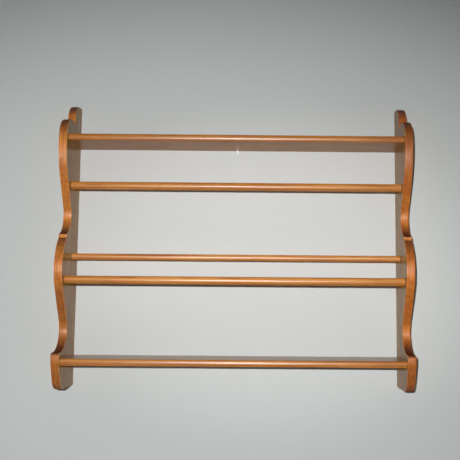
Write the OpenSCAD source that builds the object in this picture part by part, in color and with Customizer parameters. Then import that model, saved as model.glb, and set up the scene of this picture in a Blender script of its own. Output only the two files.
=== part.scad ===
// Wall plate rack. Two shaped side boards carry a shelf at the top, a shelf at the bottom and
// three round rods between them. Plates stand in two tiers, and lean on the rods in front.
// X runs along the wall, +Y points to the wall and +Z is up. The back edges lie at y = 0.
// The origin is midway between the two keyholes that the rack hangs by.
// Heights below are measured up from the lowest edge of the side boards, and depths
// are measured forward from the wall.

/* [Rack] */
// Overall width, over both side boards
rack_w = 950; // [700:10:1200]
// Thickness of the side boards
board_t = 22; // [20:1:28]
// Greatest depth of the side boards, at the foot and the lower lobe
board_d = 150; // [148:1:156]

/* [Shelves] */
// Thickness of both shelves
shelf_t = 18; // [15:0.5:22]
// Height of the bottom shelf's underside
bottom_shelf_h = 65; // [58:0.5:70]
// How far the bottom shelf's front edge lies behind the front of the foot
bottom_shelf_inset = 11; // [2:1:20]
// How far the top shelf's front edge lies behind the front of the upper lobe
top_shelf_inset = 16.5; // [4:0.5:22]
// Radius of the shelves' front edges at mid-height
nose_r = 14; // [13:1:30]
// Radius of their upper and lower corners
nose_corner_r = 6; // [3:0.5:7]

/* [Tiers] */
// Clear height from the bottom shelf up to the middle rod
lower_tier_h = 263.5; // [245:0.5:310]
// Clear height from the middle rod up to the top shelf
upper_tier_h = 302.5; // [290:0.5:350]

/* [Rods] */
// Diameter of the upper rod and the lower rod
rod_d = 22; // [18:1:26]
// Diameter of the middle rod
mid_rod_d = 18; // [16:1:24]
// How far the lower rod's axis lies below the middle rod's axis
lower_rod_drop = 65.5; // [60:0.5:70]
// Height of the upper rod's axis above the middle rod's axis
upper_rod_rise = 194.5; // [170:0.5:220]
// Depth of the lower rod's axis
lower_rod_depth = 114; // [105:1:120]
// Depth of the middle rod's axis
mid_rod_depth = 50; // [35:1:58]
// Depth of the upper rod's axis
upper_rod_depth = 79; // [65:1:88]
// Depth of the blind bores that hold the rods' ends
rod_bore_depth = 10; // [6:1:14]

/* [Foot of the side boards] */
// Radius of the lower front corner
corner_r = 38; // [20:1:42]
// Angle from upright at which the foot runs back to that corner
foot_slope = 21.5; // [18:0.5:32]
// Radius that joins the foot's upright face to its sloping face
foot_r = 48; // [25:1:55]
// Radius of the foot's upper front corner
foot_top_r = 9; // [4:0.5:10]

/* [Waists of the side boards] */
// Depth left at the lower waist
low_waist_d = 81; // [74:0.5:88]
// Radius of the lower waist
low_waist_r = 55.5; // [50:0.5:58]
// Height of the lower waist above the bottom shelf
low_waist_rise = 72; // [70:1:84]
// Depth left at the upper waist
up_waist_d = 76.5; // [70:0.5:84]
// Radius of the upper waist
up_waist_r = 53.5; // [46:0.5:56]
// Height of the upper waist above the middle rod
up_waist_rise = 108.5; // [105:0.5:120]

/* [Lobes of the side boards] */
// Height of the lower lobe's foremost point above the lower rod
low_lobe_rise = 31; // [26:1:40]
// Radius of the lower lobe below its foremost point
low_lobe_r = 115; // [95:1:125]
// Radius of the lower lobe above its foremost point
low_crown_r = 115; // [110:1:140]
// Depth of the bead above the lower lobe
bead_d = 115; // [108:1:116]
// Height of the bead's lower edge above the middle rod
bead_rise = 46; // [42:1:50]
// Radius of the bead's upper front corner
bead_top_r = 4; // [1.5:0.5:5]
// Depth of the upper lobe
up_lobe_d = 146.5; // [140:0.5:150]
// Radius of the upper lobe below its foremost point
up_lobe_r = 206; // [190:1:235]
// How far the upper lobe's foremost point lies below the top shelf's underside
up_lobe_fall = 7; // [0:1:12]
// Angle through which the upper lobe leans back above that point
up_lobe_lean = 7; // [0:1:12]
// Radius of the upper lobe's rounded top
up_crown_r = 51; // [46:1:56]

/* [Ears of the side boards] */
// Depth of the ears that rise above the upper lobes along the wall
ear_d = 66.5; // [60:0.5:72]
// Height of the ears above the top shelf
ear_rise = 101; // [95:0.5:115]
// Radius of the ears' rounded top
ear_r = 49; // [15:1:56]

/* [Shelf dowels] */
// Diameter of the dowels in the shelves' ends
dowel_d = 8; // [6:1:9]
// Length of the dowels
dowel_l = 30; // [24:1:36]
// How deep the dowels sit in the side boards
dowel_seat = 12; // [8:1:15]
// Number of dowels in each shelf end
dowel_count = 3; // [2:1:4]
// Depth from the wall to the first dowel, and from the last one to the shelf's front edge
dowel_margin = 28; // [20:1:35]
// Chamfer on the dowels' ends
dowel_chamfer = 1; // [0.5:0.25:1.5]

/* [Hangers] */
// Width of the keyhole plates
hanger_w = 16; // [15:0.5:17]
// Thickness of the keyhole plates
hanger_t = 2; // [2:0.25:3]
// Diameter of the hole that a wall screw's head enters by
entry_d = 9.5; // [8.5:0.25:10]
// Width of the slot that the wall screw's shank runs up
slot_w = 4.8; // [4:0.2:5]
// How far the rack drops on the wall screws
slot_drop = 13; // [11:0.5:15]
// Distance from the ears' top down to the entry holes
hanger_drop = 41; // [40:1:60]
// Depth of the pocket behind each keyhole plate, for the wall screw's head
pocket_depth = 9; // [7:0.5:12]
// Gap all round the wall screw's head in that pocket
pocket_gap = 0.75; // [0.5:0.25:1]
// Distance from the entry hole down to the lower fixing screw
low_screw_drop = 10.5; // [10:0.5:13]
// Distance from the slot's top end up to the upper fixing screw
up_screw_rise = 9; // [8.5:0.5:11]
// Distance from each fixing screw to the plate's end
plate_end = 8; // [7:0.5:10]

/* [Centre wall plate] */
// Width of the plate's base, which is let into the top shelf's back edge
tab_base_w = 34; // [30:1:44]
// Height of the plate's base
tab_base_h = 11; // [9:1:12]
// Thickness of the plate
tab_t = 1.5; // [1.3:0.1:2]
// Width of the plate's ear
tab_ear_w = 8; // [7:0.5:12]
// How far the ear stands below the top shelf
tab_ear_drop = 11; // [10:0.5:16]
// Diameter of the ear's hole for a wall screw
tab_hole_d = 4.2; // [3.6:0.1:5]
// Distance between the two fixing screws in the plate's base
tab_screw_gap = 22; // [20:1:24]
// Diameter of these screws' shanks
tab_screw_d = 2.6; // [2.4:0.1:2.8]
// Diameter of these screws' heads
tab_head_d = 5; // [4.6:0.1:5]
// Length of these screws
tab_screw_l = 12; // [10:1:16]

/* [Hanger screws] */
// Diameter of the fixing screws' shanks
screw_d = 3.2; // [3:0.1:3.6]
// Diameter of the fixing screws' heads
screw_head_d = 7; // [6:0.2:7]
// Length of the fixing screws
screw_l = 16; // [12:1:20]
// Length of the screws' points
screw_point = 3; // [2:0.5:4]
// Width of the cross recess's arms
recess_w = 0.9; // [0.6:0.1:1.2]
// Length across the cross recess, as a share of the head's diameter
recess_share = 0.54; // [0.45:0.01:0.6]

/* [Fits] */
// Radial clearance of the rods in their bores
rod_fit = 0.1; // [0.05:0.05:0.2]
// End clearance of each rod in its bores
rod_end_gap = 0.2; // [0.1:0.05:0.3]
// Radial clearance of the dowels in their holes
dowel_fit = 0.1; // [0.05:0.05:0.2]
// End clearance of the dowels in the shelves
dowel_end_gap = 0.9; // [0.3:0.1:1]
// Clearance of the keyhole plates in their recesses
plate_fit = 0.15; // [0.1:0.05:0.3]
// Clearance of the fixing screws in the plates and the boards
screw_fit = 0.1; // [0.05:0.05:0.2]

/* [Hidden] */
$fn = 48;

WOOD = "#bb7a3f";
DOWEL_WOOD = "#d8b98a";
STEEL = "#b9bcc0";

// Each arc of the outline has a point about every six degrees.
ARC_STEP = 6;
// The cuts run this far past the faces that they open.
CUT = 1;
LEFT = -1;
RIGHT = 1;

inner_w = rack_w - 2 * board_t;

// Heights of the shelves and the rods
bottom_shelf_top = bottom_shelf_h + shelf_t;
mid_rod_h = bottom_shelf_top + lower_tier_h + mid_rod_d / 2;
top_shelf_h = mid_rod_h + mid_rod_d / 2 + upper_tier_h;
lower_rod_h = mid_rod_h - lower_rod_drop;
upper_rod_h = mid_rod_h + upper_rod_rise;
rack_h = top_shelf_h + shelf_t + ear_rise;
hanger_h = rack_h - hanger_drop;

bottom_shelf_d = board_d - bottom_shelf_inset;
top_shelf_d = up_lobe_d - top_shelf_inset;

// Centres of the outline's arcs, as [depth, height]
foot_c = [board_d - foot_r, bottom_shelf_top];
low_waist_c = [low_waist_d + low_waist_r, bottom_shelf_top + low_waist_rise];
low_lobe_c = [board_d - low_lobe_r, lower_rod_h + low_lobe_rise];
low_crown_c = [board_d - low_crown_r, low_lobe_c.y];
up_waist_c = [up_waist_d + up_waist_r, mid_rod_h + up_waist_rise];
up_lobe_c = [up_lobe_d - up_lobe_r, top_shelf_h - up_lobe_fall];
up_crown_c = up_lobe_c + (up_lobe_r - up_crown_r) * [cos(up_lobe_lean), sin(up_lobe_lean)];
ear_c = [ear_d - ear_r, rack_h - ear_r];

// The sloping face of the foot is tangent to the foot's arc and to the corner's arc, which
// stands on the board's lowest edge.
slope_l = (foot_c.y - (foot_r - corner_r) * sin(foot_slope) - corner_r) / cos(foot_slope);
corner_c = [
    foot_c.x + (foot_r - corner_r) * cos(foot_slope) - slope_l * sin(foot_slope),
    corner_r
];

// The small arcs at the top of the foot and of the bead
foot_top_c = corner_centre(board_d, foot_top_r, low_waist_c, low_waist_r);
foot_top_end = corner_end(foot_top_c, low_waist_c);
bead_top_c = corner_centre(bead_d, bead_top_r, up_waist_c, up_waist_r);
bead_top_end = corner_end(bead_top_c, up_waist_c);

bead_h = mid_rod_h + bead_rise;
crown_end = asin((bead_h - low_crown_c.y) / low_crown_r);
// Angle at which a straight stretch leaves each lobe and meets the waist below it
low_tangent = inner_tangent(low_lobe_c, low_lobe_r, low_waist_c, low_waist_r);
up_tangent = inner_tangent(up_lobe_c, up_lobe_r, up_waist_c, up_waist_r);

// Points of an arc from angle a0 to angle a1. An arc that goes on from the one before it
// starts at point 1, because the two share a point.
function arc(c, r, a0, a1, start = 0) =
    let (n = ceil(abs(a1 - a0) / ARC_STEP))
    [for (i = [start:n]) let (a = a0 + (a1 - a0) * i / n) c + r * [cos(a), sin(a)]];

// Angle at which the upper lobe's rounded top runs back to the ear's front face
notch_angle = acos((ear_d - up_crown_c.x) / up_crown_r);

// Angle on the first circle where a line crosses between two circles and touches both
function inner_tangent(c1, r1, c2, r2) =
    atan2(c2.y - c1.y, c2.x - c1.x) + acos((r1 + r2) / norm(c2 - c1));

// Centre of the small arc that joins an upright face at the given depth to the waist above it
function corner_centre(depth, corner_r, c, r) =
    let (x = depth - corner_r)
    [x, c.y - sqrt(pow(r + corner_r, 2) - pow(x - c.x, 2))];

// Angle on that small arc where it meets the waist
function corner_end(corner_c, c) = atan2(c.y - corner_c.y, c.x - corner_c.x);

// Side board's outline, from the wall at the bottom round the front to the wall at the top
outline = concat(
    [[0, 0]],
    arc(corner_c, corner_r, -90, -foot_slope),
    arc(foot_c, foot_r, -foot_slope, 0),
    arc(foot_top_c, foot_top_r, 0, foot_top_end),
    arc(low_waist_c, low_waist_r, foot_top_end - 180, low_tangent - 180, 1),
    arc(low_lobe_c, low_lobe_r, low_tangent, 0),
    arc(low_crown_c, low_crown_r, 0, crown_end, 1),
    [[bead_d, bead_h]],
    arc(bead_top_c, bead_top_r, 0, bead_top_end),
    arc(up_waist_c, up_waist_r, bead_top_end - 180, up_tangent - 180, 1),
    arc(up_lobe_c, up_lobe_r, up_tangent, up_lobe_lean),
    arc(up_crown_c, up_crown_r, up_lobe_lean, notch_angle, 1),
    arc(ear_c, ear_r, 0, 90),
    [[0, rack_h]]
);

// Depths of the dowels in a shelf of the given depth
function dowel_depths(shelf_d) =
    let (run = shelf_d - 2 * dowel_margin)
    [for (i = [0:dowel_count - 1]) dowel_margin + run * i / (dowel_count - 1)];

// The keyhole plate's outline and the two fixing screws, as heights from the entry hole
plate_screws = [-low_screw_drop, slot_drop + up_screw_rise];
pocket_d = entry_d + 2 * pocket_gap;

// Heights in the centre wall plate, from the top shelf's underside
tab_base_y = shelf_t / 2;
tab_ear_y = tab_ear_w / 2 - tab_ear_drop;

// Moves what is drawn at [across, -depth, height] to the rack's own origin
module at_origin() {
    translate([0, 0, -hanger_h]) children();
}

// A solid of constant section that runs along X, from a section drawn as [-depth, height]
module along_x(x0, length) {
    translate([x0, 0, 0]) rotate([90, 0, 90]) linear_extrude(length) children();
}

// A cylinder along X, centred on the given depth and height
module bar(x0, length, d, depth, height) {
    translate([x0, -depth, height]) rotate([0, 90, 0]) cylinder(h = length, d = d);
}

// Places what is drawn with its axis along Z at the entry hole of one side's board.
// There, +Z points out of the back edge, to the wall, and +Y points up.
module at_hanger(side) {
    translate([side * (inner_w + board_t) / 2, 0, hanger_h])
        rotate([90, 0, 180]) children();
}

// The same at the middle of the top shelf's back edge, level with its underside
module at_shelf_back() {
    translate([0, 0, top_shelf_h]) rotate([90, 0, 180]) children();
}

// Slot with round ends that stands upright, from height y0 to height y1 between its centres
module upright_slot(d, y0, y1, z0, length) {
    translate([0, 0, z0]) linear_extrude(length) union() {
        translate([0, y0]) circle(d = d);
        translate([0, y1]) circle(d = d);
        translate([-d / 2, y0]) square([d, y1 - y0]);
    }
}

// Keyhole plate's shape, with half-round ends
module plate_blank(clearance, length) {
    low = plate_screws[0] - plate_end + hanger_w / 2;
    high = plate_screws[1] + plate_end - hanger_w / 2;
    upright_slot(hanger_w + 2 * clearance, low, high, -hanger_t, length);
}

// Blind bore for a rod's end, in the inner face of one side's board
module rod_bore(side, d, depth, height) {
    face = inner_w / 2;
    x0 = side == LEFT ? -face - rod_bore_depth : face - CUT;
    bar(x0, rod_bore_depth + CUT, d + 2 * rod_fit, depth, height);
}

// Blind holes for the dowels of one shelf, in the inner face of one side's board
module board_dowel_holes(side, shelf_d, shelf_h) {
    face = inner_w / 2;
    x0 = side == LEFT ? -face - dowel_seat : face - CUT;
    for (depth = dowel_depths(shelf_d))
        bar(x0, dowel_seat + CUT, dowel_d + 2 * dowel_fit, depth, shelf_h + shelf_t / 2);
}

// Recess for the keyhole plate, pocket for the wall screw's head, and pilot holes
module hanger_cut(side) {
    at_hanger(side) {
        plate_blank(plate_fit, hanger_t + CUT);
        upright_slot(pocket_d, 0, slot_drop, -hanger_t - pocket_depth, pocket_depth + CUT);
        for (y = plate_screws)
            translate([0, y, -screw_l - screw_fit])
                cylinder(h = screw_l, d = screw_d + 2 * screw_fit);
    }
}

module side_board(side) {
    x0 = side == LEFT ? -rack_w / 2 : inner_w / 2;
    color(WOOD) at_origin() difference() {
        along_x(x0, board_t) polygon([for (p = outline) [-p.x, p.y]]);
        rod_bore(side, rod_d, lower_rod_depth, lower_rod_h);
        rod_bore(side, mid_rod_d, mid_rod_depth, mid_rod_h);
        rod_bore(side, rod_d, upper_rod_depth, upper_rod_h);
        board_dowel_holes(side, bottom_shelf_d, bottom_shelf_h);
        board_dowel_holes(side, top_shelf_d, top_shelf_h);
        hanger_cut(side);
    }
}

module left_side_board() {
    side_board(LEFT);
}

module right_side_board() {
    side_board(RIGHT);
}

// Shelf's section with its rounded front edge, as [-depth, height]. A shallow arc runs
// between the two corners' arcs and is tangent to both.
module shelf_section(shelf_d) {
    lift = shelf_t / 2 - nose_corner_r;
    back = sqrt(pow(nose_r - nose_corner_r, 2) - pow(lift, 2));
    flat_d = shelf_d - nose_r + back;
    half = lift * nose_r / (nose_r - nose_corner_r);
    union() {
        translate([-flat_d, 0]) square([flat_d, shelf_t]);
        for (z = [nose_corner_r, shelf_t - nose_corner_r])
            translate([-flat_d, z]) circle(r = nose_corner_r);
        intersection() {
            translate([nose_r - shelf_d, shelf_t / 2]) circle(r = nose_r);
            translate([-shelf_d, shelf_t / 2 - half]) square([shelf_d - flat_d, 2 * half]);
        }
    }
}

// Shelf with dowel holes in both ends
module shelf(shelf_d, shelf_h) {
    hole_l = dowel_l - dowel_seat + dowel_end_gap;
    difference() {
        translate([0, 0, shelf_h]) along_x(-inner_w / 2, inner_w) shelf_section(shelf_d);
        for (depth = dowel_depths(shelf_d)) {
            hole_d = dowel_d + 2 * dowel_fit;
            bar(-inner_w / 2 - CUT, hole_l + CUT, hole_d, depth, shelf_h + shelf_t / 2);
            bar(inner_w / 2 - hole_l, hole_l + CUT, hole_d, depth, shelf_h + shelf_t / 2);
        }
    }
}

module top_shelf() {
    color(WOOD) at_origin() difference() {
        shelf(top_shelf_d, top_shelf_h);
        at_shelf_back() {
            translate([0, 0, -tab_t]) linear_extrude(tab_t + CUT) tab_shape(plate_fit);
            for (side = [LEFT, RIGHT])
                translate([side * tab_screw_gap / 2, tab_base_y, -tab_screw_l - screw_fit])
                    cylinder(h = tab_screw_l, d = tab_screw_d + 2 * screw_fit);
        }
    }
}

module bottom_shelf() {
    color(WOOD) at_origin() shelf(bottom_shelf_d, bottom_shelf_h);
}

module rod(d, depth, height) {
    length = inner_w + 2 * (rod_bore_depth - rod_end_gap);
    color(WOOD) at_origin() bar(-length / 2, length, d, depth, height);
}

module upper_rod() {
    rod(rod_d, upper_rod_depth, upper_rod_h);
}

module middle_rod() {
    rod(mid_rod_d, mid_rod_depth, mid_rod_h);
}

module lower_rod() {
    rod(rod_d, lower_rod_depth, lower_rod_h);
}

// One dowel along Z with chamfered ends
module dowel() {
    r = dowel_d / 2;
    c = dowel_chamfer;
    rotate_extrude() polygon([
        [0, 0], [r - c, 0], [r, c], [r, dowel_l - c], [r - c, dowel_l], [0, dowel_l]
    ]);
}

// The dowels of one shelf end, seated on the floors of the board's holes
module dowels(side, shelf_d, shelf_h) {
    x0 = side == LEFT ? -inner_w / 2 - dowel_seat : inner_w / 2 + dowel_seat - dowel_l;
    color(DOWEL_WOOD) at_origin() for (depth = dowel_depths(shelf_d))
        translate([x0, -depth, shelf_h + shelf_t / 2]) rotate([0, 90, 0]) dowel();
}

module top_left_dowels() {
    dowels(LEFT, top_shelf_d, top_shelf_h);
}

module top_right_dowels() {
    dowels(RIGHT, top_shelf_d, top_shelf_h);
}

module bottom_left_dowels() {
    dowels(LEFT, bottom_shelf_d, bottom_shelf_h);
}

module bottom_right_dowels() {
    dowels(RIGHT, bottom_shelf_d, bottom_shelf_h);
}

// Steel keyhole plate, let in flush with the board's back edge
module hanger_plate(side) {
    color(STEEL) at_origin() at_hanger(side) difference() {
        plate_blank(0, hanger_t);
        translate([0, 0, -hanger_t - CUT]) cylinder(h = hanger_t + 2 * CUT, d = entry_d);
        upright_slot(slot_w, 0, slot_drop, -hanger_t - CUT, hanger_t + 2 * CUT);
        for (y = plate_screws)
            translate([0, y, 0]) flat_screw_hole(screw_d, screw_head_d, hanger_t);
    }
}

module left_hanger_plate() {
    hanger_plate(LEFT);
}

module right_hanger_plate() {
    hanger_plate(RIGHT);
}

// Countersunk screw with its head's face at z = 0 and its point down
module flat_screw(d, head_d, length) {
    head_h = (head_d - d) / 2;
    arm_l = head_d * recess_share;
    difference() {
        rotate_extrude() polygon([
            [0, -length],
            [d / 2, -length + screw_point],
            [d / 2, -head_h],
            [head_d / 2, 0],
            [0, 0]
        ]);
        for (turn = [0, 90]) rotate([0, 0, turn])
            translate([-arm_l / 2, -recess_w / 2, -head_h / 2]) cube([arm_l, recess_w, head_h]);
    }
}

// Countersunk hole for such a screw, through a plate whose face is at z = 0
module flat_screw_hole(d, head_d, plate_t) {
    head_h = (head_d - d) / 2;
    head_r = head_d / 2 + screw_fit;
    hole_r = d / 2 + screw_fit;
    translate([0, 0, -head_h]) cylinder(h = head_h, r1 = hole_r, r2 = head_r);
    translate([0, 0, -plate_t - CUT]) cylinder(h = plate_t + CUT, r = hole_r);
    cylinder(h = CUT, r = head_r);
}

module hanger_screws(side) {
    color(STEEL) at_origin() at_hanger(side)
        for (y = plate_screws)
            translate([0, y, 0]) flat_screw(screw_d, screw_head_d, screw_l);
}

module left_hanger_screws() {
    hanger_screws(LEFT);
}

module right_hanger_screws() {
    hanger_screws(RIGHT);
}

// Outline of the centre wall plate: a base with round ends and an ear that hangs from it
module tab_shape(clearance) {
    reach = (tab_base_w - tab_base_h) / 2;
    base_d = tab_base_h + 2 * clearance;
    ear_w = tab_ear_w + 2 * clearance;
    union() {
        for (side = [LEFT, RIGHT]) translate([side * reach, tab_base_y]) circle(d = base_d);
        translate([-reach, tab_base_y - base_d / 2]) square([2 * reach, base_d]);
        translate([0, tab_ear_y]) circle(d = ear_w);
        translate([-ear_w / 2, tab_ear_y]) square([ear_w, tab_base_y - tab_ear_y]);
    }
}

// Steel plate let in flush with the top shelf's back edge, for a screw into the wall
module centre_wall_plate() {
    color(STEEL) at_origin() at_shelf_back() difference() {
        translate([0, 0, -tab_t]) linear_extrude(tab_t) tab_shape(0);
        translate([0, tab_ear_y, -tab_t - CUT]) cylinder(h = tab_t + 2 * CUT, d = tab_hole_d);
        for (side = [LEFT, RIGHT])
            translate([side * tab_screw_gap / 2, tab_base_y, 0])
                flat_screw_hole(tab_screw_d, tab_head_d, tab_t);
    }
}

module centre_plate_screws() {
    color(STEEL) at_origin() at_shelf_back()
        for (side = [LEFT, RIGHT])
            translate([side * tab_screw_gap / 2, tab_base_y, 0])
                flat_screw(tab_screw_d, tab_head_d, tab_screw_l);
}

left_side_board();
right_side_board();
top_shelf();
bottom_shelf();
upper_rod();
middle_rod();
lower_rod();
top_left_dowels();
top_right_dowels();
bottom_left_dowels();
bottom_right_dowels();
left_hanger_plate();
right_hanger_plate();
left_hanger_screws();
right_hanger_screws();
centre_wall_plate();
centre_plate_screws();
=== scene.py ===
import bpy
import bmesh
import math
from mathutils import Matrix, Vector


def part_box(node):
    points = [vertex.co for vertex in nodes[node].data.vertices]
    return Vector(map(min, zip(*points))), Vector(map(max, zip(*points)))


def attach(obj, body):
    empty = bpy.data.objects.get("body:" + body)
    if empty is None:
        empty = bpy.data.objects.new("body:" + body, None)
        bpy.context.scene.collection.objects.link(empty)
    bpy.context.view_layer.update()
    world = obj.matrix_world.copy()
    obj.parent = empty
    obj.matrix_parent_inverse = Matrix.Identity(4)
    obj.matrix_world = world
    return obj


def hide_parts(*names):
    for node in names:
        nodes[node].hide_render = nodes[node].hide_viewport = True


# A wall plate rack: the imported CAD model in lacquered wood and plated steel, in front of a painted
# wall, lit by one lamp beside the camera. Lengths are in metres.

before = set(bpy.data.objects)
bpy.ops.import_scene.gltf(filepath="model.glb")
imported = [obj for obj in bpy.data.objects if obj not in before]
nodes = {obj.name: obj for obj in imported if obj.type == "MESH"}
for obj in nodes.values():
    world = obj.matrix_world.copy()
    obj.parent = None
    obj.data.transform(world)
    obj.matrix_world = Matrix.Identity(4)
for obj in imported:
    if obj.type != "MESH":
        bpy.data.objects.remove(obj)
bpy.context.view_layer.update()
scene = bpy.context.scene
boxes = {node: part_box(node) for node in nodes}

RODS = ("upper_rod", "middle_rod", "lower_rod")
SHELVES = ("top_shelf", "bottom_shelf")
DOWELS = ("top_left_dowels", "top_right_dowels", "bottom_left_dowels", "bottom_right_dowels")
STEEL_PLATES = ("left_hanger_plate", "right_hanger_plate", "centre_wall_plate")
SCREWS = ("left_hanger_screws", "right_hanger_screws", "centre_plate_screws")


# ---------------------------------------------------------------- camera

# Fitted to the photograph's straight edges: 1.96 m in front of the wall, a little above the
# bottom shelf, looking up.
CAMERA_PLACE = (0.0638, -1.9609, -0.5028)
YAW_DEG, PITCH_DEG, ROLL_DEG = 0.251, 5.561, 0.459
LENS_MM, SENSOR_MM = 53.97, 36.0
SHIFT_X, SHIFT_Y = -0.0702, 0.0043
CLIP_START, CLIP_END = 0.05, 50.0


def make_camera():
    """Adds the camera, turned to its yaw, pitched up and then rolled about its line of sight."""
    yaw, pitch, roll = math.radians(YAW_DEG), math.radians(PITCH_DEG), math.radians(ROLL_DEG)
    forward = Vector((
        math.sin(yaw) * math.cos(pitch),
        math.cos(yaw) * math.cos(pitch),
        math.sin(pitch),
    ))
    level = Vector((math.cos(yaw), -math.sin(yaw), 0))
    upright = level.cross(forward)
    right = math.cos(roll) * level + math.sin(roll) * upright
    up = -math.sin(roll) * level + math.cos(roll) * upright
    data = bpy.data.cameras.new("camera")
    data.sensor_width = SENSOR_MM
    data.lens = LENS_MM
    data.shift_x, data.shift_y = SHIFT_X, SHIFT_Y
    data.clip_start, data.clip_end = CLIP_START, CLIP_END
    camera = bpy.data.objects.new("camera", data)
    turn = Matrix((right, up, -forward)).transposed().to_4x4()
    camera.matrix_world = Matrix.Translation(CAMERA_PLACE) @ turn
    scene.collection.objects.link(camera)
    scene.camera = camera


make_camera()


# ---------------------------------------------------------------- node trees

class Nodes:
    """Short calls for the node tree of a material or a world."""

    # Where the mix node keeps its sockets for colours
    MIX_FACTOR, MIX_A, MIX_B, MIX_RESULT = 0, 6, 7, 2

    def __init__(self, owner):
        self.owner = owner
        self.owner.use_nodes = True
        self.tree = self.owner.node_tree
        self.tree.nodes.clear()

    def add(self, kind, inputs=None, **settings):
        """Adds a node. An input is another node's output, which is linked, or a plain value."""
        node = self.tree.nodes.new(kind)
        for key, value in settings.items():
            setattr(node, key, value)
        for key, value in (inputs or {}).items():
            if isinstance(value, bpy.types.NodeSocket):
                self.tree.links.new(value, node.inputs[key])
            else:
                node.inputs[key].default_value = value
        return node

    def math(self, operation, a, b=0.0, c=0.0):
        return self.add("ShaderNodeMath", {0: a, 1: b, 2: c}, operation=operation).outputs[0]

    def vector_math(self, operation, a, b):
        node = self.add("ShaderNodeVectorMath", {0: a, 1: b}, operation=operation)
        return node.outputs[0]

    def axes(self, vector):
        """The vector's X, Y and Z."""
        return self.add("ShaderNodeSeparateXYZ", {0: vector}).outputs

    def mix(self, factor, a, b, blend="MIX"):
        inputs = {self.MIX_FACTOR: factor, self.MIX_A: a, self.MIX_B: b}
        node = self.add("ShaderNodeMix", inputs, data_type="RGBA", blend_type=blend)
        return node.outputs[self.MIX_RESULT]

    def ramp(self, value, stops):
        """The colour at value on a ramp of (position, colour) stops."""
        node = self.add("ShaderNodeValToRGB", {0: value})
        elements = node.color_ramp.elements
        elements[0].position, elements[0].color = stops[0]
        elements[1].position, elements[1].color = stops[-1]
        for position, colour in stops[1:-1]:
            elements.new(position).color = colour
        return node.outputs[0]

    def span(self, value, low, high, to_low=0.0, to_high=1.0):
        """Goes from to_low to to_high as value goes from low to high, and stays level beyond."""
        inputs = {0: value, 1: low, 2: high, 3: to_low, 4: to_high}
        return self.add("ShaderNodeMapRange", inputs).outputs[0]

    def swing(self, noise, reach):
        """A noise as a swing from -reach to reach."""
        return self.span(noise, 0.3, 0.7, -reach, reach)

    def point(self, scale=(1, 1, 1), place=(0, 0, 0)):
        """The point on the object, moved by place and then scaled."""
        where = self.add("ShaderNodeTexCoord").outputs["Object"]
        return self.vector_math("MULTIPLY", self.vector_math("ADD", where, place), scale)

    def noise(self, vector, detail=2.0, roughness=0.5, output="Fac"):
        inputs = {"Vector": vector, "Scale": 1.0, "Detail": detail, "Roughness": roughness}
        return self.add("ShaderNodeTexNoise", inputs).outputs[output]

    def bump(self, height, strength, distance, normal=None):
        """The surface's own normal, or the one given, bent by the height."""
        inputs = {"Strength": strength, "Distance": distance, "Height": height}
        if normal is not None:
            inputs["Normal"] = normal
        return self.add("ShaderNodeBump", inputs).outputs[0]

    def principled(self, inputs):
        """Makes a Principled shader the material's surface."""
        self.surface(self.add("ShaderNodeBsdfPrincipled", inputs).outputs[0])

    def surface(self, shader):
        self.add("ShaderNodeOutputMaterial", {"Surface": shader})


def rgb(r, g, b):
    """A colour given as it looks on a screen, 0 to 255, as the linear numbers a shader takes."""
    def linear(v):
        v /= 255
        return v / 12.92 if v <= 0.04045 else ((v + 0.055) / 1.055) ** 2.4
    return (linear(r), linear(g), linear(b), 1.0)


def dimmed(colour, factor):
    return tuple(v * factor for v in colour[:3]) + (1.0,)


# ---------------------------------------------------------------- wood

# Each pattern's scale across the grain, its scale along it, and its noise's detail and roughness
BEND = (9.0, 1.1, 3.0, 0.45)
PATCH = (24.0, 7.0, 3.0, 0.5)
STREAK = (190.0, 3.2, 3.0, 0.6)
FIBRE = (780.0, 14.0, 5.0, 0.62)
COMB = (1500.0, 12.0, 1.0, 0.5)
PORES = (2400.0, 85.0, 1.0, 0.5)
# How far the growth rings bend
BEND_REACH = 0.034
# How dark the deep colour is, as a share of the dark tone's. It is the end grain's deepest stain,
# and also the painted shade under the rods.
DEEPEST = 0.30
# How dark the late wood is across a growth ring: place in the ring, and strength
LATE_WOOD = ((0.0, 0.0), (0.55, 0.12), (0.88, 1.0), (1.0, 0.0))
# The colour in which the bare fibres shine
FIBRE_TINT = (1.0, 0.66, 0.36, 1.0)
# Depth of the wood's relief and of the waves in its lacquer
RELIEF = 0.00025


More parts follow.
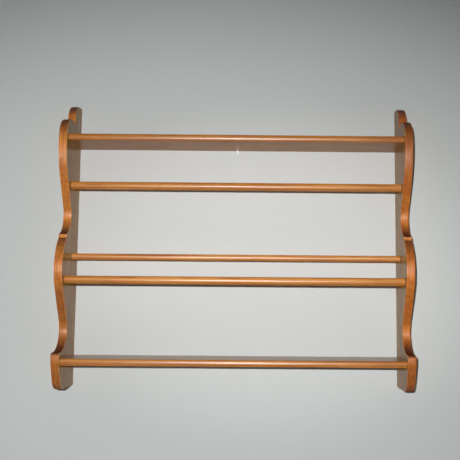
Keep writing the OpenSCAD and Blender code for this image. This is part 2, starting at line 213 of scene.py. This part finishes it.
class Wood(Nodes):
    """Stained wood under clear lacquer.

    grain is the axis along the grain, heart a point on the tree's middle line, and seed moves the
    patterns from piece to piece. tones are the stain's dark, middle and light colours, ring is the
    width of a growth ring, and flat the axis that a board's wide faces look along.
    """

    def __init__(self, name, grain, heart, seed, tones, ring, flat):
        super().__init__(bpy.data.materials.new(name))
        self.along = "XYZ".index(grain)
        self.seed = seed
        self.dark, self.middle, self.light = tones
        self.deep = dimmed(self.dark, DEEPEST)
        self.normal = self.axes(self.add("ShaderNodeNewGeometry").outputs["Normal"])
        self.end_on = self.math("ABSOLUTE", self.normal[self.along])
        if flat is not None:
            self.wide = self.span(self.math("ABSOLUTE", self.normal[flat]), 0.85, 0.99)
        self.late = self.growth_rings(heart, ring)
        self.fibre = self.pattern(FIBRE)
        self.streak = self.pattern(STREAK)
        self.pores = self.span(self.pattern(PORES), 0.66, 0.74)

    def pattern(self, values, output="Fac"):
        """Noise that is fine across the grain and drawn out along it."""
        fine, coarse, detail, roughness = values
        scale = [fine, fine, fine]
        scale[self.along] = coarse
        place = (self.seed * 0.37, self.seed * 0.23, self.seed * 0.61)
        return self.noise(self.point(tuple(scale), place), detail, roughness, output)

    def growth_rings(self, heart, ring):
        """The dark late wood, by the distance from the tree's middle line, bent by slow noise."""
        bend = self.vector_math("SUBTRACT", self.pattern(BEND, "Color"), (0.5, 0.5, 0.5))
        bend = self.vector_math("MULTIPLY", bend, (BEND_REACH, BEND_REACH, BEND_REACH))
        where = self.point(place=tuple(-v for v in heart))
        across = [1.0, 1.0, 1.0]
        across[self.along] = 0.0
        where = self.vector_math("MULTIPLY", self.vector_math("ADD", where, bend), tuple(across))
        length = self.add("ShaderNodeVectorMath", {0: where}, operation="LENGTH")
        radius = length.outputs["Value"]
        pace = self.noise(self.math("MULTIPLY", radius, 90.0), detail=1.0)
        turns = self.math("MULTIPLY_ADD", radius, 1.0 / ring, self.math("MULTIPLY", pace, 1.6))
        return self.ramp(self.math("FRACT", turns), [(at, (v, v, v, 1)) for at, v in LATE_WOOD])

    def stain(self, face_shade_tint, under, stains):
        """The stained wood's colour.

        face_shade_tint darkens and greys the wide faces: painted shade for the glancing light on
        them, and painted reflection of the pale wall. under is the strength of the painted shade
        that darkens the undersides. Each of the stains is where it gathered along the edges: its
        place along the grain, its reach to either side, and its strength.
        """
        tone = self.math("MULTIPLY", self.late, 0.42)
        for noise, reach in ((self.streak, 0.30), (self.fibre, 0.16), (self.pattern(PATCH), 0.14)):
            tone = self.math("ADD", tone, self.swing(noise, reach))
        tone = self.math("ADD", tone, 0.34)
        colour = self.ramp(tone, [(0.0, self.light), (0.45, self.middle), (1.0, self.dark)])
        colour = self.mix(self.math("MULTIPLY", self.pores, 0.35), colour, self.dark)
        # Painted shade and painted reflection: the face tint darkens and greys the wide faces.
        if face_shade_tint:
            tinted = self.mix(1.0, colour, face_shade_tint, "MULTIPLY")
            colour = self.mix(self.wide, colour, tinted)

        # End grain drinks more of the stain. On an upright board, the ends that face up are darker
        # still.
        lean = 0.25 if self.along == 2 else 0.0
        ends = self.math("MULTIPLY_ADD", self.normal[self.along], lean, self.end_on)
        ends = self.math("ADD", ends, self.swing(self.streak, 0.05))
        colour = self.mix(self.span(ends, 0.04, 1.0, 0.0, 0.98), colour, self.deep)
        if under:
            # Painted shade: the undersides are darkened towards the deep colour.
            painted_underside_shade = self.span(self.normal[2], -1.0, 0.3, under, 0.0)
            colour = self.mix(painted_underside_shade, colour, self.deep)
        if stains:
            rim = self.span(self.math("ABSOLUTE", self.normal[0]), 0.5, 0.9, 1.0, 0.0)
            place = self.axes(self.point())[self.along]
            place = self.math("ADD", place, self.swing(self.streak, 0.008))
            for centre, reach, strength in stains:
                off = self.math("ABSOLUTE", self.math("SUBTRACT", place, centre))
                spot = self.span(off, reach * 0.4, reach, strength, 0.0)
                colour = self.mix(self.math("MULTIPLY", spot, rim), colour, self.deep)

        # Where hands rub the rounded edges, the stain is thinner.
        worn = self.add("ShaderNodeAttribute", attribute_name="wear").outputs["Fac"]
        rub = self.noise(self.point((60, 60, 60), (self.seed, 0, 0)), detail=3.0)
        rub = self.math("MULTIPLY", self.span(rub, 0.35, 0.7), 0.15)
        return self.mix(self.math("MULTIPLY", worn, rub), colour, self.light)

    def lacquer(self, colour, gloss, sheen, graze=0.55, film=0.36, face_film=None, index=1.58,
                ridge=0.0, shy=0.0):
        """Makes the surface: wood of the given colour, with the lacquer over it.

        gloss is the lacquer's strength seen straight on, graze the same at a glancing look, and
        shy how much of it the wide faces lack until the look is at its flattest. film is its
        roughness, face_film that of the wide faces, index its index of refraction, and ridge how
        closely it follows the open grain. sheen is the strength of the fibres' own shine.
        """
        facing = self.add("ShaderNodeLayerWeight", {"Blend": 0.5}).outputs["Facing"]
        coat = self.span(facing, 0.35, 0.70, gloss, graze)
        coat = self.math("MULTIPLY", coat, self.span(self.end_on, 0.60, 0.98, 1.0, 0.15))
        if shy:
            lacking = self.math("MULTIPLY", self.wide, self.span(facing, 0.80, 0.89, shy, 0.0))
            coat = self.math("MULTIPLY", coat, self.math("SUBTRACT", 1.0, lacking))
        if face_film:
            film = self.math("MULTIPLY_ADD", self.wide, face_film - film, film)

        relief = self.math("MULTIPLY", self.fibre, 0.6)
        relief = self.math("ADD", relief, self.math("MULTIPLY", self.late, -0.35))
        relief = self.math("ADD", relief, self.math("MULTIPLY", self.pores, -0.5))
        flow = self.noise(self.point((140, 140, 140), (self.seed, self.seed, 0)))
        flow = self.math("ADD", flow, self.math("MULTIPLY", self.fibre, 0.22))
        flow = self.bump(flow, 0.25, RELIEF)
        if ridge:
            flow = self.bump(self.pattern(COMB), ridge, RELIEF, flow)
        self.principled({
            "Base Color": colour,
            "Roughness": self.span(self.fibre, 0.25, 0.75, 0.44, 0.56),
            "IOR": 1.5,
            "Normal": self.bump(relief, 0.35, RELIEF),
            "Specular IOR Level": self.span(facing, 0.35, 0.75, sheen, 0.0),
            "Specular Tint": FIBRE_TINT,
            "Coat Weight": coat,
            "Coat Roughness": film,
            "Coat IOR": index,
            "Coat Normal": flow,
        })


def wood(name, grain, heart, seed, tones, ring=0.0026, flat=None, face_shade_tint=None, under=0.0,
         stains=(), **finish):
    """A wood material. Wood, Wood.stain and Wood.lacquer say what the values mean."""
    n = Wood(name, grain, heart, seed, tones, ring, flat)
    n.lacquer(n.stain(face_shade_tint, under, stains), **finish)
    return n.owner


# ---------------------------------------------------------------- steel and paint

def steel(name, tint, rough, seed):
    """Plated sheet steel with rolling lines, fine scratches and cloudy plating."""
    n = Nodes(bpy.data.materials.new(name))
    lines = n.noise(n.point((2600, 2600, 90), (seed, 0, 0)), detail=3.0)
    cloud = n.noise(n.point((220, 220, 220), (0, seed, 0)), detail=4.0)
    colour = n.mix(n.span(cloud, 0.3, 0.7), tint, dimmed(tint, 0.78))
    colour = n.mix(n.span(lines, 0.55, 0.75, 0.0, 0.25), colour, rgb(120, 118, 112))
    matt = n.span(cloud, 0.3, 0.7, rough - 0.06, rough + 0.08)
    matt = n.math("ADD", matt, n.span(lines, 0.3, 0.7, -0.04, 0.06))
    n.principled({
        "Base Color": colour,
        "Metallic": 1.0,
        "Roughness": matt,
        "Normal": n.bump(lines, 0.2, 0.00005),
    })
    return n.owner


# Roughly how far the rack's middle is below the frame's origin
MIDDLE_DROP = 0.3
# The distance over which the pale glow comes up
GLOW_RAMP = 0.6
# Rays no longer than this set out from the rack's back edges, which almost touch the wall, and
# they pass through it too.
TOUCHING = 0.004


def paint(name, colour, grain, strength, glow, reach):
    """Matt wall or floor paint with a faint roller texture of the given grain and strength.

    From behind, the camera and all lights see through it. Further out than reach from the rack,
    the camera sees a pale glow on it, which lights nothing.
    """
    n = Nodes(bpy.data.materials.new(name))
    stipple = n.noise(n.point((grain, grain, grain)), detail=4.0, roughness=0.6)
    cloud = n.noise(n.point((2.2, 2.2, 2.2)), detail=3.0)
    tone = n.mix(n.span(cloud, 0.3, 0.7, 0.0, 0.35), colour, dimmed(colour, 0.965))
    tone = n.mix(n.span(stipple, 0.35, 0.7, 0.0, 0.20), tone, dimmed(colour, 0.93))
    bump = n.bump(stipple, strength, 0.0006)
    face = n.add("ShaderNodeBsdfDiffuse", {"Color": tone, "Roughness": 0.9, "Normal": bump})
    path = n.add("ShaderNodeLightPath").outputs

    away = n.axes(n.point(place=(0, 0, MIDDLE_DROP)))
    away = n.math("MAXIMUM", n.math("ABSOLUTE", away[0]), n.math("ABSOLUTE", away[2]))
    away = n.span(away, reach, reach + GLOW_RAMP, 0.0, glow)
    seen = n.math("MULTIPLY", away, path["Is Camera Ray"])
    pale = n.add("ShaderNodeEmission", {"Color": colour, "Strength": seen})
    front = n.add("ShaderNodeAddShader", {0: face.outputs[0], 1: pale.outputs[0]})

    behind = n.add("ShaderNodeNewGeometry").outputs["Backfacing"]
    open_to = n.math("MAXIMUM", behind, path["Is Shadow Ray"])
    open_to = n.math("MAXIMUM", open_to, n.math("LESS_THAN", path["Ray Length"], TOUCHING))
    clear = n.add("ShaderNodeBsdfTransparent")
    mixed = n.add("ShaderNodeMixShader", {0: open_to, 1: front.outputs[0], 2: clear.outputs[0]})
    n.surface(mixed.outputs[0])
    return n.owner


# ---------------------------------------------------------------- side boards

# Points nearer to each other than this are one.
WELD = 2e-6
# An edge that turns by less than this lies inside a flat face, and by more than CUT_DEG it is cut.
FLAT_DEG = 0.2
CUT_DEG = 40
# Edges this near the wall stay sharp.
BACK_BAND = 0.0005
# An edge no further than this from the plane of a wide face lies on it.
ON_FACE = 1e-5
# How far outside a rod's surface the rim of its bore reaches
BORE_BAND = 0.001
# How far the dowels' holes stay from a shelf's front and back
DOWEL_MARGIN = 0.01
EDGE_ROUNDING = 0.0022
ROUNDING_STEPS = 4
# Edges that turn by more than this are shaded sharp.
SHARP_DEG = 32
# How much more a large face counts than a small one in the shading, where 50 is the same
FACE_WEIGHT = 80


def mesh_of(node):
    """A welded copy of a CAD node's mesh, with its flat faces whole."""
    bm = bmesh.new()
    bm.from_mesh(nodes[node].data)
    bmesh.ops.remove_doubles(bm, verts=bm.verts, dist=WELD)
    bmesh.ops.dissolve_limit(
        bm, angle_limit=math.radians(FLAT_DEG), verts=bm.verts, edges=bm.edges)
    return bm


def in_hole(y, z):
    """Whether a point of a board's face is on the rim of a rod's bore or of a dowel's hole."""
    for rod in RODS:
        low, high = boxes[rod]
        off = math.hypot(y - (low.y + high.y) / 2, z - (low.z + high.z) / 2)
        if off < (high.z - low.z) / 2 + BORE_BAND:
            return True
    for shelf in SHELVES:
        low, high = boxes[shelf]
        if low.z < z < high.z and low.y + DOWEL_MARGIN < y < -DOWEL_MARGIN:
            return True
    return False


def cut_edges(bm, node):
    """The edges round the outline of a board's two wide faces, but those against the wall."""
    low, high = boxes[node]
    chosen = []
    for edge in bm.edges:
        a, b = edge.verts[0].co, edge.verts[1].co
        middle = (a + b) / 2
        if len(edge.link_faces) != 2 or edge.calc_face_angle(0.0) < math.radians(CUT_DEG):
            continue
        if middle.y > -BACK_BAND or in_hole(middle.y, middle.z):
            continue
        if any(abs(a.x - x) < ON_FACE and abs(b.x - x) < ON_FACE for x in (low.x, high.x)):
            chosen.append(edge)
    return chosen


def side_board(node, name, material):
    """Replaces a side board with one whose cut edges are rounded over, as they are sanded."""
    bm = mesh_of(node)
    bm.normal_update()
    made = bmesh.ops.bevel(
        bm, geom=cut_edges(bm, node), offset=EDGE_ROUNDING, offset_type="OFFSET",
        segments=ROUNDING_STEPS, profile=0.5, affect="EDGES", clamp_overlap=False,
        loop_slide=False,
    )
    wear = bm.verts.layers.float.new("wear")
    rounded = set(made["faces"])
    for vert in bm.verts:
        inside = vert.link_faces and all(face in rounded for face in vert.link_faces)
        vert[wear] = 1.0 if inside else 0.0
    mesh = bpy.data.meshes.new(name)
    bm.to_mesh(mesh)
    bm.free()
    mesh.materials.append(material)
    mesh.shade_smooth()
    mesh.set_sharp_from_angle(angle=math.radians(SHARP_DEG))
    board = bpy.data.objects.new(name, mesh)
    scene.collection.objects.link(board)
    even = board.modifiers.new("even", "WEIGHTED_NORMAL")
    even.keep_sharp = True
    even.weight = FACE_WEIGHT
    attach(board, "root")
    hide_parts(node)


# What both boards' finishes share
BOARD = dict(
    gloss=1.0, sheen=0.0, graze=0.70, film=0.34, face_film=0.22, index=1.68, ridge=1.0, flat=0,
)
# Each board's face tint is painted shade and painted reflection on its wide faces.
side_board("left_side_board", "left_board_rounded", wood(
    "wood_left_board", "Z", (-0.392, -0.155, 0), 1.0,
    tones=(rgb(166, 84, 26), rgb(228, 136, 52), rgb(246, 172, 76)),
    face_shade_tint=(0.45, 0.66, 0.78, 1.0),
    stains=((0.036, 0.028, 0.55), (-0.042, 0.05, 0.45), (-0.545, 0.12, 0.36),
            (-0.658, 0.03, 0.4), (-0.715, 0.05, 0.42)),
    **BOARD))
side_board("right_side_board", "right_board_rounded", wood(
    "wood_right_board", "Z", (0.548, -0.030, 0), 2.0,
    tones=(rgb(158, 76, 18), rgb(214, 118, 38), rgb(238, 156, 62)),
    face_shade_tint=(0.48, 0.78, 0.98, 1.0),
    stains=((0.036, 0.028, 0.55), (-0.045, 0.06, 0.58), (-0.115, 0.05, 0.22),
            (-0.658, 0.03, 0.3), (-0.715, 0.05, 0.38)),
    **BOARD))


# ---------------------------------------------------------------- the other pieces

def dress(node, material):
    """Gives a CAD node its material."""
    nodes[node].data.materials.clear()
    nodes[node].data.materials.append(material)


# What both shelves' finishes share, and all three rods'
SHELF = dict(
    tones=(rgb(136, 72, 20), rgb(188, 114, 40), rgb(214, 146, 60)),
    gloss=1.0, sheen=0.0, index=1.72, flat=2,
)
ROD = dict(
    tones=(rgb(162, 92, 31), rgb(213, 136, 56), rgb(233, 164, 84)),
    # under is painted shade on the rods' undersides.
    gloss=1.0, sheen=0.0, index=1.72, under=0.38,
)
# The shelves' face tints are painted shade and painted reflection on their wide faces.
for node, heart, seed, finish in (
    ("top_shelf", (0, -0.05, -0.150), 3.0,
     dict(SHELF, graze=0.8, face_shade_tint=(0.68, 0.76, 0.60, 1.0))),
    ("bottom_shelf", (0, -0.09, -0.585), 4.0,
     dict(SHELF, graze=1.0, face_shade_tint=(0.60, 0.78, 1.0, 1.0), face_film=0.31, shy=0.85)),
    ("upper_rod", (0, -0.110, -0.180), 5.0, ROD),
    ("lower_rod", (0, -0.150, -0.430), 7.0, ROD),
    ("middle_rod", (0, -0.020, -0.420), 6.0, dict(ROD, film=0.40, index=1.9)),
):
    dress(node, wood("wood_" + node, "X", heart, seed, **finish))

dowel_wood = wood(
    "wood_dowels", "X", (0, -0.2, -0.3), 8.0, ring=0.0016,
    tones=(rgb(186, 148, 100), rgb(214, 181, 132), rgb(230, 202, 158)),
    gloss=0.0, graze=0.0, sheen=0.3,
)
plate_steel = steel("steel_plates", rgb(188, 190, 190), 0.46, 1.0)
screw_steel = steel("steel_screws", rgb(214, 202, 168), 0.26, 2.0)
for group, material in ((DOWELS, dowel_wood), (STEEL_PLATES, plate_steel), (SCREWS, screw_steel)):
    for node in group:
        dress(node, material)


# ---------------------------------------------------------------- wall and floor

# The wall stands just clear of the back edges.
WALL_Y = 0.0006
WALL_TOP = 2.2
FLOOR_Z = -1.45
FLOOR_FRONT, FLOOR_BACK = -5, 4
HALF_WIDTH = 4


def sheet(name, corners, material):
    """Adds a flat backdrop that isn't part of the object."""
    mesh = bpy.data.meshes.new(name)
    mesh.from_pydata(corners, [], [tuple(range(len(corners)))])
    mesh.materials.append(material)
    thing = bpy.data.objects.new(name, mesh)
    scene.collection.objects.link(thing)


sheet(
    "wall",
    [(-HALF_WIDTH, WALL_Y, FLOOR_Z), (HALF_WIDTH, WALL_Y, FLOOR_Z),
     (HALF_WIDTH, WALL_Y, WALL_TOP), (-HALF_WIDTH, WALL_Y, WALL_TOP)],
    paint("wall_paint", rgb(222, 226, 226), grain=420.0, strength=0.12, glow=0.65, reach=0.7),
)
# Its reach is so far below zero that the floor glows all over.
sheet(
    "floor",
    [(-HALF_WIDTH, FLOOR_FRONT, FLOOR_Z), (HALF_WIDTH, FLOOR_FRONT, FLOOR_Z),
     (HALF_WIDTH, FLOOR_BACK, FLOOR_Z), (-HALF_WIDTH, FLOOR_BACK, FLOOR_Z)],
    paint("floor_paint", rgb(214, 212, 207), grain=160.0, strength=0.10, glow=0.7, reach=-1.0),
)


# ---------------------------------------------------------------- light

LAMP_PLACE = (-0.06, -2.2, -0.398)
LAMP_COLOUR = (1.0, 0.99, 0.98)
LAMP_RADIUS = 0.012
FILL_SPREAD_DEG = 0.5


def lamp(name, kind, place, aim, energy, **settings):
    """Adds a lamp that shines from place towards aim."""
    data = bpy.data.lights.new(name, kind)
    data.energy = energy
    for key, value in settings.items():
        setattr(data, key, value)
    thing = bpy.data.objects.new(name, data)
    thing.location = place
    thing.rotation_euler = (Vector(aim) - Vector(place)).to_track_quat("-Z", "Y").to_euler()
    scene.collection.objects.link(thing)
    return thing


# The lamp beside the camera: a wide oval cone, and a narrow one that lifts the middle.
for name, aim, energy, cone_deg, oval in (
    ("key", (-0.146, 0, -0.572), 135.0, 69.6, 1.58),
    ("key_middle", (0.094, 0, -0.430), 36.0, 26.9, 1.38),
):
    key = lamp(name, "SPOT", LAMP_PLACE, aim, energy, color=LAMP_COLOUR,
               spot_size=math.radians(cone_deg), spot_blend=1.0, shadow_soft_size=LAMP_RADIUS)
    key.scale = (oval, 1.0, 1.0)

# Plain light for the sides, the top, the underside and the back, which the key doesn't reach.
for name, way, energy in (
    ("left_fill", (1, 0, 0), 1.1),
    ("right_fill", (-1, 0, 0), 1.1),
    ("back_fill", (0, -1, 0), 1.5),
    ("top_fill", (0, 0, -1), 0.35),
    ("under_fill", (0, 0, 1), 0.10),
):
    fill = lamp(name, "SUN", (0, 0, 0), way, energy, angle=math.radians(FILL_SPREAD_DEG))
    fill.visible_glossy = False


ROOM_LIGHT = 0.02
CEILING_LIGHT = 0.14
GROUND = rgb(222, 222, 219)


def make_world():
    """A dark room, with a dim pale ceiling that only the lacquer's shine shows.

    The camera sees a pale ground instead, and so does the shine of the metal behind, which looks
    back towards +Y. The wall hides that ground from everything in front of it.
    """
    scene.world = bpy.data.worlds.new("world")
    n = Nodes(scene.world)
    path = n.add("ShaderNodeLightPath").outputs
    way = n.axes(n.add("ShaderNodeTexCoord").outputs["Generated"])
    back = n.math("GREATER_THAN", way[1], 0.05)
    seen = n.math("MAXIMUM", path["Is Camera Ray"], n.math("MULTIPLY", path["Is Glossy Ray"], back))
    ceiling = n.span(way[2], 0.15, 0.4, 0.0, CEILING_LIGHT)
    light = n.math("ADD", n.math("MULTIPLY", path["Is Glossy Ray"], ceiling), ROOM_LIGHT)
    room = n.add("ShaderNodeBackground", {"Color": (1, 1, 1, 1), "Strength": light})
    ground = n.add("ShaderNodeBackground", {"Color": GROUND, "Strength": 1.0})
    both = n.add("ShaderNodeMixShader", {0: seen, 1: room.outputs[0], 2: ground.outputs[0]})
    n.add("ShaderNodeOutputWorld", {"Surface": both.outputs[0]})


make_world()
scene.view_settings.view_transform = "Standard"
